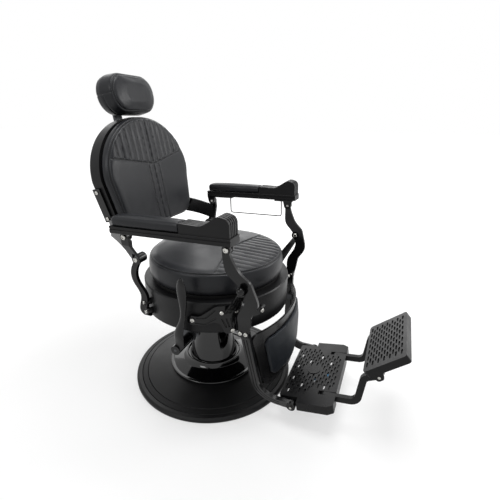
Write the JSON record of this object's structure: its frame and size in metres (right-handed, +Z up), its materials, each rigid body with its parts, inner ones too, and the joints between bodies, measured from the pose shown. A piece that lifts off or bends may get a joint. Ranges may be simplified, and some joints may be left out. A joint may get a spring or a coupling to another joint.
{
  "type": "barber chair",
  "caption": "Upholstered barber chair on a round pump base with a swivel drum seat, reclining back linked to its armrests and leg rest, adjustable headrest and hinged cast footrest.",
  "frame": {"origin": "on the floor, on the axis of the round base", "axes": "+Z up, -Y the way the sitter faces, -X the sitter's right"},
  "size_m": [0.718, 1.2353, 1.2473],
  "materials": {
    "enamel_satin": "satin black powder coat",
    "shell_satin": "moulded satin black shell",
    "shell_gloss": "moulded gloss black panel",
    "enamel_gloss": "gloss black enamel",
    "enamel_cast": "black enamel on cast lattice",
    "steel": "plain steel",
    "chrome": "bright plated",
    "wire_enamel": "black coated wire",
    "leather": "black grained upholstery",
    "leather_slate": "dark slate upholstery",
    "plywood": "raw board",
    "arm_plastic": "moulded black",
    "rubber_black": "moulded ring",
    "rubber_blue": "moulded block"
  },
  "bodies": {
    "base": {"base_plate": "enamel_satin", "base_foot_ring": "rubber_black", "pump_flange": "enamel_gloss", "pump_cone": "enamel_gloss", "pump_cylinder": "steel"},
    "lift": {"lift_piston": "chrome", "swivel_bearing": "steel"},
    "seat": {"swivel_hub": "steel", "seat_frame": "steel", "seat_drum": "enamel_satin", "seat_pan": "plywood", "seat_cushion": "leather", "left_casting": "enamel_gloss", "right_casting": "enamel_gloss", "left_rear_post": "enamel_gloss", "right_rear_post": "enamel_gloss", "side_bolts": "chrome", "lever_bracket": "steel", "lever_shaft": "steel", "link_rod": "chrome"},
    "lever": {"pump_lever": "enamel_gloss"},
    "back": {"back_shell": "shell_satin", "back_board": "plywood", "back_cushion": "leather", "left_back_lever": "enamel_gloss", "right_back_lever": "enamel_gloss", "strap_bolts": "chrome", "lever_pivot_screws": "chrome", "headrest_guide": "enamel_satin"},
    "headrest_slide": {"headrest_stem": "steel"},
    "headrest": {"headrest_board": "steel", "headrest_pad": "leather", "headrest_pin": "steel"},
    "right_arm": {"right_arm_rail": "arm_plastic", "right_arm_pad": "leather", "right_arm_grip": "arm_plastic", "right_arm_brackets": "enamel_gloss", "right_bracket_screws": "chrome"},
    "left_arm": {"left_arm_rail": "arm_plastic", "left_arm_pad": "leather", "left_arm_grip": "arm_plastic", "left_arm_brackets": "enamel_gloss", "left_bracket_screws": "chrome", "towel_bar": "wire_enamel"},
    "leg_rest": {"left_front_post": "enamel_gloss", "right_front_post": "enamel_gloss", "left_leg_bar": "enamel_gloss", "right_leg_bar": "enamel_gloss", "post_pivot_screws": "chrome", "leg_bar_screws": "chrome", "calf_shell": "shell_gloss", "calf_pad": "leather_slate", "calf_clips": "steel"},
    "footplate": {"footplate": "enamel_cast", "foot_pins": "chrome", "toe_arm_pins": "chrome", "foot_buffer": "rubber_blue"},
    "toe_arms": {"toe_arms": "enamel_cast"},
    "toe_plate": {"toe_plate": "enamel_cast", "toe_plate_bolts": "chrome"}
  },
  "joints": [
    {"name": "lift_slide", "type": "slide", "parent": "base", "child": "lift", "axis": [0, 0, 1], "range_m": [0, 0.15]},
    {"name": "swivel", "type": "hinge", "parent": "lift", "child": "seat", "pos_m": [0, 0, 0.292], "axis": [0, 0, 1], "continuous": true},
    {"name": "lever_pump", "type": "hinge", "parent": "seat", "child": "lever", "pos_m": [-0.33, -0.039, 0.322], "axis": [-1, 0, 0], "range_deg": [-25, 20]},
    {"name": "back_recline", "type": "hinge", "parent": "seat", "child": "back", "pos_m": [0, 0.14594, 0.616], "axis": [-1, 0, 0], "range_deg": [0, 40]},
    {"name": "headrest_height", "type": "slide", "parent": "back", "child": "headrest_slide", "axis": [0, 0.1736, 0.9848], "range_m": [0, 0.08]},
    {"name": "headrest_tilt", "type": "hinge", "parent": "headrest_slide", "child": "headrest", "pos_m": [0, 0.42401, 1.15995], "axis": [-1, 0, 0], "range_deg": [-5, 25]},
    {"name": "right_arm_link", "type": "hinge", "parent": "back", "child": "right_arm", "pos_m": [-0.307, 0.15394, 0.711], "axis": [-1, 0, 0], "range_deg": [-42.34, 0.5]},
    {"name": "left_arm_link", "type": "hinge", "parent": "back", "child": "left_arm", "pos_m": [0.307, 0.15394, 0.711], "axis": [-1, 0, 0], "range_deg": [-42.34, 0.5]},
    {"name": "leg_rest_raise", "type": "hinge", "parent": "seat", "child": "leg_rest", "pos_m": [0, -0.27912, 0.592], "axis": [-1, 0, 0], "range_deg": [-0.5, 29.78]},
    {"name": "footplate_fold", "type": "hinge", "parent": "leg_rest", "child": "footplate", "pos_m": [0, -0.43012, 0.086], "axis": [-1, 0, 0], "range_deg": [0, 30]},
    {"name": "toe_arm_fold", "type": "hinge", "parent": "footplate", "child": "toe_arms", "pos_m": [0, -0.53739, 0.12111], "axis": [-1, 0, 0], "range_deg": [0, 40]},
    {"name": "toe_plate_tilt", "type": "hinge", "parent": "toe_arms", "child": "toe_plate", "pos_m": [0, -0.71539, 0.27711], "axis": [-1, 0, 0], "range_deg": [-30, 10]}
  ],
  "couplings": [
    {"joint": "leg_rest_raise", "follows": "back_recline", "ratio": 0.732},
    {"joint": "right_arm_link", "follows": "back_recline", "ratio": -1.046},
    {"joint": "left_arm_link", "follows": "back_recline", "ratio": -1.046}
  ]
}
